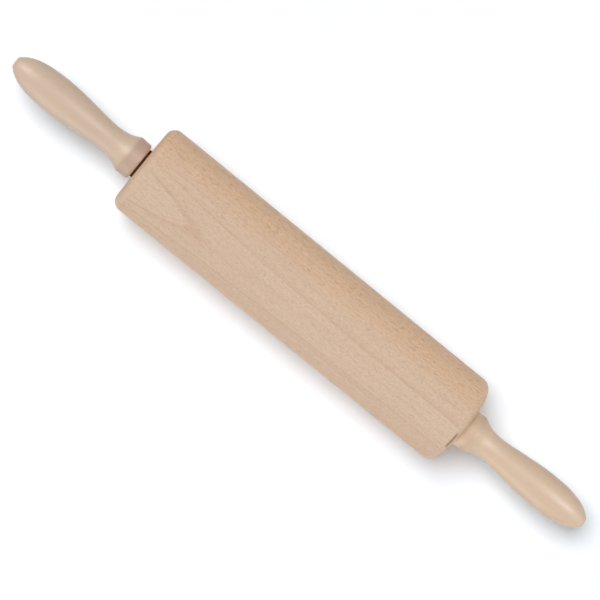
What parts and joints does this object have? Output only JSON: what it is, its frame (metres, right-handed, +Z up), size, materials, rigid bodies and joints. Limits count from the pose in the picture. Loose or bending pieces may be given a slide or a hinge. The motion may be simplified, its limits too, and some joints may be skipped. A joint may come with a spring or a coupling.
{
  "type": "rolling pin",
  "caption": "Beech rolling pin with a plain cylindrical roller that spins on ball bearings round a steel axle, and turned handles with a collar, a neck and a rounded tip.",
  "frame": {"origin": "on the table, under the middle of the roller", "axes": "+X along the axle, from the left handle to the right one; +Z up"},
  "size_m": [0.4442, 0.06, 0.0599],
  "materials": {
    "roller_beech": "fine sanded, oiled",
    "handle_beech": "turned smooth, light wax",
    "rod_steel": "drawn bar",
    "bearing_steel": "ground and polished",
    "shield_steel": "pressed sheet",
    "brass": "machined",
    "dark_fibre": "dark brown pressed fibre"
  },
  "bodies": {
    "axle_and_handles": {"axle_rod": "rod_steel", "handle_left": "handle_beech", "handle_right": "handle_beech", "thread_insert_left": "brass", "thread_insert_right": "brass", "spacer_sleeve_left": "rod_steel", "spacer_sleeve_right": "rod_steel", "dust_washer_left": "dark_fibre", "dust_washer_right": "dark_fibre", "bearing_inner_ring_left": "bearing_steel", "bearing_inner_ring_right": "bearing_steel"},
    "roller": {"roller": "roller_beech", "bearing_outer_ring_left": "bearing_steel", "bearing_outer_ring_right": "bearing_steel", "bearing_shield_outboard_left": "shield_steel", "bearing_shield_inboard_left": "shield_steel", "bearing_shield_outboard_right": "shield_steel", "bearing_shield_inboard_right": "shield_steel"},
    "cage_left": {"bearing_cage_left": "brass"},
    "cage_right": {"bearing_cage_right": "brass"},
    "ball_left_1": {"bearing_ball_left_1": "bearing_steel"},
    "ball_left_2": {"bearing_ball_left_2": "bearing_steel"},
    "ball_left_3": {"bearing_ball_left_3": "bearing_steel"},
    "ball_left_4": {"bearing_ball_left_4": "bearing_steel"},
    "ball_left_5": {"bearing_ball_left_5": "bearing_steel"},
    "ball_left_6": {"bearing_ball_left_6": "bearing_steel"},
    "ball_left_7": {"bearing_ball_left_7": "bearing_steel"},
    "ball_right_1": {"bearing_ball_right_1": "bearing_steel"},
    "ball_right_2": {"bearing_ball_right_2": "bearing_steel"},
    "ball_right_3": {"bearing_ball_right_3": "bearing_steel"},
    "ball_right_4": {"bearing_ball_right_4": "bearing_steel"},
    "ball_right_5": {"bearing_ball_right_5": "bearing_steel"},
    "ball_right_6": {"bearing_ball_right_6": "bearing_steel"},
    "ball_right_7": {"bearing_ball_right_7": "bearing_steel"}
  },
  "joints": [
    {"name": "roller_spin", "type": "hinge", "parent": "axle_and_handles", "child": "roller", "pos_m": [0, 0, 0.02996], "axis": [1, 0, 0], "continuous": true},
    {"name": "cage_left_orbit", "type": "hinge", "parent": "axle_and_handles", "child": "cage_left", "pos_m": [-0.1211, 0, 0.02996], "axis": [1, 0, 0], "continuous": true},
    {"name": "cage_right_orbit", "type": "hinge", "parent": "axle_and_handles", "child": "cage_right", "pos_m": [0.1211, 0, 0.02996], "axis": [1, 0, 0], "continuous": true},
    {"name": "ball_left_1_spin", "type": "hinge", "parent": "cage_left", "child": "ball_left_1", "pos_m": [-0.1211, -0.0075, 0.02996], "axis": [1, 0, 0], "continuous": true},
    {"name": "ball_left_2_spin", "type": "hinge", "parent": "cage_left", "child": "ball_left_2", "pos_m": [-0.1211, -0.00468, 0.03583], "axis": [1, 0, 0], "continuous": true},
    {"name": "ball_left_3_spin", "type": "hinge", "parent": "cage_left", "child": "ball_left_3", "pos_m": [-0.1211, 0.00167, 0.03728], "axis": [1, 0, 0], "continuous": true},
    {"name": "ball_left_4_spin", "type": "hinge", "parent": "cage_left", "child": "ball_left_4", "pos_m": [-0.1211, 0.00676, 0.03322], "axis": [1, 0, 0], "continuous": true},
    {"name": "ball_left_5_spin", "type": "hinge", "parent": "cage_left", "child": "ball_left_5", "pos_m": [-0.1211, 0.00676, 0.02671], "axis": [1, 0, 0], "continuous": true},
    {"name": "ball_left_6_spin", "type": "hinge", "parent": "cage_left", "child": "ball_left_6", "pos_m": [-0.1211, 0.00167, 0.02265], "axis": [1, 0, 0], "continuous": true},
    {"name": "ball_left_7_spin", "type": "hinge", "parent": "cage_left", "child": "ball_left_7", "pos_m": [-0.1211, -0.00468, 0.0241], "axis": [1, 0, 0], "continuous": true},
    {"name": "ball_right_1_spin", "type": "hinge", "parent": "cage_right", "child": "ball_right_1", "pos_m": [0.1211, 0.0075, 0.02996], "axis": [1, 0, 0], "continuous": true},
    {"name": "ball_right_2_spin", "type": "hinge", "parent": "cage_right", "child": "ball_right_2", "pos_m": [0.1211, 0.00468, 0.03583], "axis": [1, 0, 0], "continuous": true},
    {"name": "ball_right_3_spin", "type": "hinge", "parent": "cage_right", "child": "ball_right_3", "pos_m": [0.1211, -0.00167, 0.03728], "axis": [1, 0, 0], "continuous": true},
    {"name": "ball_right_4_spin", "type": "hinge", "parent": "cage_right", "child": "ball_right_4", "pos_m": [0.1211, -0.00676, 0.03322], "axis": [1, 0, 0], "continuous": true},
    {"name": "ball_right_5_spin", "type": "hinge", "parent": "cage_right", "child": "ball_right_5", "pos_m": [0.1211, -0.00676, 0.02671], "axis": [1, 0, 0], "continuous": true},
    {"name": "ball_right_6_spin", "type": "hinge", "parent": "cage_right", "child": "ball_right_6", "pos_m": [0.1211, -0.00167, 0.02265], "axis": [1, 0, 0], "continuous": true},
    {"name": "ball_right_7_spin", "type": "hinge", "parent": "cage_right", "child": "ball_right_7", "pos_m": [0.1211, 0.00468, 0.0241], "axis": [1, 0, 0], "continuous": true}
  ],
  "couplings": [
    {"joint": "cage_left_orbit", "follows": "roller_spin", "ratio": 0.63233},
    {"joint": "cage_right_orbit", "follows": "roller_spin", "ratio": 0.63233},
    {"joint": "ball_left_1_spin", "follows": "roller_spin", "ratio": 1.7568},
    {"joint": "ball_left_2_spin", "follows": "roller_spin", "ratio": 1.7568},
    {"joint": "ball_left_3_spin", "follows": "roller_spin", "ratio": 1.7568},
    {"joint": "ball_left_4_spin", "follows": "roller_spin", "ratio": 1.7568},
    {"joint": "ball_left_5_spin", "follows": "roller_spin", "ratio": 1.7568},
    {"joint": "ball_left_6_spin", "follows": "roller_spin", "ratio": 1.7568},
    {"joint": "ball_left_7_spin", "follows": "roller_spin", "ratio": 1.7568},
    {"joint": "ball_right_1_spin", "follows": "roller_spin", "ratio": 1.7568},
    {"joint": "ball_right_2_spin", "follows": "roller_spin", "ratio": 1.7568},
    {"joint": "ball_right_3_spin", "follows": "roller_spin", "ratio": 1.7568},
    {"joint": "ball_right_4_spin", "follows": "roller_spin", "ratio": 1.7568},
    {"joint": "ball_right_5_spin", "follows": "roller_spin", "ratio": 1.7568},
    {"joint": "ball_right_6_spin", "follows": "roller_spin", "ratio": 1.7568},
    {"joint": "ball_right_7_spin", "follows": "roller_spin", "ratio": 1.7568}
  ]
}
